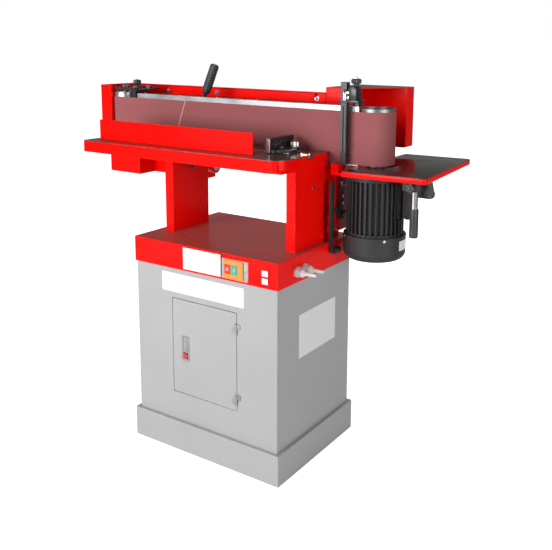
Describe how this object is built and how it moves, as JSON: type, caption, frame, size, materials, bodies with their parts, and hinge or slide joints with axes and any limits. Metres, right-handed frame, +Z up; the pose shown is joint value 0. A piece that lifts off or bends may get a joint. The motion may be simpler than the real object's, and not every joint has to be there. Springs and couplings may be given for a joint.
{
  "type": "belt edge sander",
  "caption": "Floor standing belt edge sander: sheet steel cabinet with door, work table with miter gauge, upright belt on a tilting head, end table, motor, dust hood and work stop.",
  "frame": {"origin": "middle of the plinth's footprint, on the floor", "axes": "+Z up, +X along the belt towards the motor end, the operator stands at -Y"},
  "size_m": [1.266, 0.658, 1.1348],
  "materials": {
    "red_paint": "glossy red enamel",
    "grey_paint": "light grey enamel, semi gloss",
    "black_paint": "black enamel",
    "table_steel": "ground and polished",
    "platen_steel": "bright sheet",
    "bright_steel": "machined",
    "dark_steel": "blackened",
    "chrome": "polished",
    "drum_alloy": "turned",
    "dark_top": "dark grey gloss",
    "black_plastic": "moulded",
    "grey_plastic": "moulded",
    "red_plastic": "moulded",
    "green_plastic": "moulded",
    "yellow_plastic": "moulded",
    "white_plate": "bare plate",
    "belt_cloth": "abrasive cloth"
  },
  "bodies": {
    "stand": {"plinth": "grey_paint", "cabinet_shell": "grey_paint", "base_box": "red_paint", "switch_plate": "bright_steel", "switch_body": "yellow_plastic", "cable_glands": "grey_plastic", "name_plate": "white_plate", "hinge_leaves": "bright_steel", "left_post": "red_paint", "right_post": "red_paint", "pivot_brackets": "red_paint", "table_apron": "red_paint", "table_top": "table_steel", "guide_plate": "red_paint", "fasteners": "bright_steel"},
    "stop_button": {"stop_button": "red_plastic"},
    "start_button": {"start_button": "green_plastic"},
    "door": {"door_panel": "grey_paint", "door_hinges": "bright_steel", "latch_housing": "bright_steel"},
    "latch_lever": {"latch_lever": "bright_steel"},
    "latch_button": {"latch_button": "red_plastic"},
    "latch_tongue": {"latch_tongue": "bright_steel"},
    "star_knob": {"star_knob": "black_plastic"},
    "gauge_bar": {"gauge_bar": "bright_steel"},
    "gauge_head": {"gauge_head": "black_paint", "gauge_fence": "drum_alloy"},
    "gauge_knob": {"gauge_knob": "chrome"},
    "head": {"head_bed": "red_paint", "trunnion_pins": "bright_steel", "rear_cover": "red_paint", "end_guard": "red_paint", "dust_hood": "red_paint", "dust_port": "red_paint", "platen": "platen_steel", "platen_brackets": "dark_steel", "sanding_belt": "belt_cloth", "motor_housing": "black_paint", "fan_cover": "black_paint", "terminal_box": "black_paint", "rating_plate": "white_plate", "lever_bracket": "dark_steel", "stop_bracket": "black_paint", "table_clamp": "black_paint", "tilt_bar": "black_paint"},
    "rotor": {"rotor": "bright_steel", "drive_drum": "drum_alloy"},
    "idler_slide": {"idler_slide": "dark_steel"},
    "idler": {"idler_drum": "drum_alloy"},
    "tracking_knob": {"tracking_knob": "black_plastic"},
    "tension_lever": {"tension_lever": "bright_steel", "lever_grip": "black_plastic"},
    "stop_bar": {"stop_bar": "dark_steel"},
    "stop_knob": {"stop_knob": "black_plastic"},
    "end_table": {"end_table": "red_paint", "end_table_top": "dark_top", "table_stem": "chrome", "stem_grip": "black_plastic"},
    "clamp_knob": {"clamp_knob": "black_plastic"},
    "tilt_lever": {"tilt_lever": "black_paint"}
  },
  "joints": [
    {"name": "door_hinge", "type": "hinge", "parent": "stand", "child": "door", "pos_m": [0.1183, -0.1956, 0.32], "axis": [0, 0, 1], "range_deg": [0, 110]},
    {"name": "latch_lift", "type": "hinge", "parent": "door", "child": "latch_lever", "pos_m": [-0.0695, -0.1885, 0.35], "axis": [-1, 0, 0], "range_deg": [0, 40]},
    {"name": "tongue_slide", "type": "slide", "parent": "door", "child": "latch_tongue", "axis": [1, 0, 0], "range_m": [0, 0.008]},
    {"name": "latch_push", "type": "slide", "parent": "door", "child": "latch_button", "axis": [0, 1, 0], "range_m": [0, 0.003], "stiffness_N_per_m": 300},
    {"name": "stop_push", "type": "slide", "parent": "stand", "child": "stop_button", "axis": [0, 1, 0], "range_m": [0, 0.003], "stiffness_N_per_m": 300},
    {"name": "start_push", "type": "slide", "parent": "stand", "child": "start_button", "axis": [0, 1, 0], "range_m": [0, 0.003], "stiffness_N_per_m": 300},
    {"name": "star_knob_turn", "type": "hinge", "parent": "stand", "child": "star_knob", "pos_m": [-0.1996, -0.02, 0.846], "axis": [1, 0, 0], "continuous": true},
    {"name": "gauge_slide", "type": "slide", "parent": "stand", "child": "gauge_bar", "axis": [1, 0, 0], "range_m": [-0.36, 0.02]},
    {"name": "gauge_swivel", "type": "hinge", "parent": "gauge_bar", "child": "gauge_head", "pos_m": [0.145, -0.014, 0.9], "axis": [0, 0, 1], "range_deg": [-10, 45]},
    {"name": "gauge_knob_turn", "type": "hinge", "parent": "gauge_bar", "child": "gauge_knob", "pos_m": [0.157, 0.032, 0.917], "axis": [0, 0, 1], "continuous": true},
    {"name": "head_tilt", "type": "hinge", "parent": "stand", "child": "head", "pos_m": [0, 0.138, 0.8], "axis": [-1, 0, 0], "range_deg": [0, 90]},
    {"name": "drive_spin", "type": "hinge", "parent": "head", "child": "rotor", "pos_m": [0.364, 0.1456, 0.9], "axis": [0, 0, 1], "continuous": true},
    {"name": "idler_travel", "type": "slide", "parent": "head", "child": "idler_slide", "axis": [1, 0, 0], "range_m": [0, 0.0118]},
    {"name": "idler_spin", "type": "hinge", "parent": "idler_slide", "child": "idler", "pos_m": [-0.619, 0.1332, 0.95], "axis": [0, 0, 1], "continuous": true},
    {"name": "tracking_turn", "type": "hinge", "parent": "idler_slide", "child": "tracking_knob", "pos_m": [-0.591, 0.1592, 1.06], "axis": [0, 0, 1], "continuous": true},
    {"name": "tension_throw", "type": "hinge", "parent": "head", "child": "tension_lever", "pos_m": [-0.302, 0.152, 0.975], "axis": [0, -1, 0], "range_deg": [0, 35]},
    {"name": "stop_lift", "type": "slide", "parent": "head", "child": "stop_bar", "axis": [0, 0, 1], "range_m": [0, 0.12]},
    {"name": "stop_knob_turn", "type": "hinge", "parent": "head", "child": "stop_knob", "pos_m": [0.325, 0.09, 1.095], "axis": [0, 0, 1], "continuous": true},
    {"name": "end_table_lift", "type": "slide", "parent": "head", "child": "end_table", "axis": [0, 0, 1], "range_m": [0, 0.045]},
    {"name": "clamp_knob_turn", "type": "hinge", "parent": "head", "child": "clamp_knob", "pos_m": [0.508, 0.07, 0.821], "axis": [0, -1, 0], "continuous": true},
    {"name": "tilt_lock", "type": "hinge", "parent": "head", "child": "tilt_lever", "pos_m": [0.262, 0.138, 0.706], "axis": [1, 0, 0], "range_deg": [-15, 10]}
  ],
  "couplings": [
    {"joint": "tongue_slide", "follows": "latch_lift", "m_per_rad": 0.0114},
    {"joint": "idler_travel", "follows": "tension_throw", "m_per_rad": 0.0192},
    {"joint": "idler_spin", "follows": "drive_spin", "ratio": 1.3123}
  ]
}
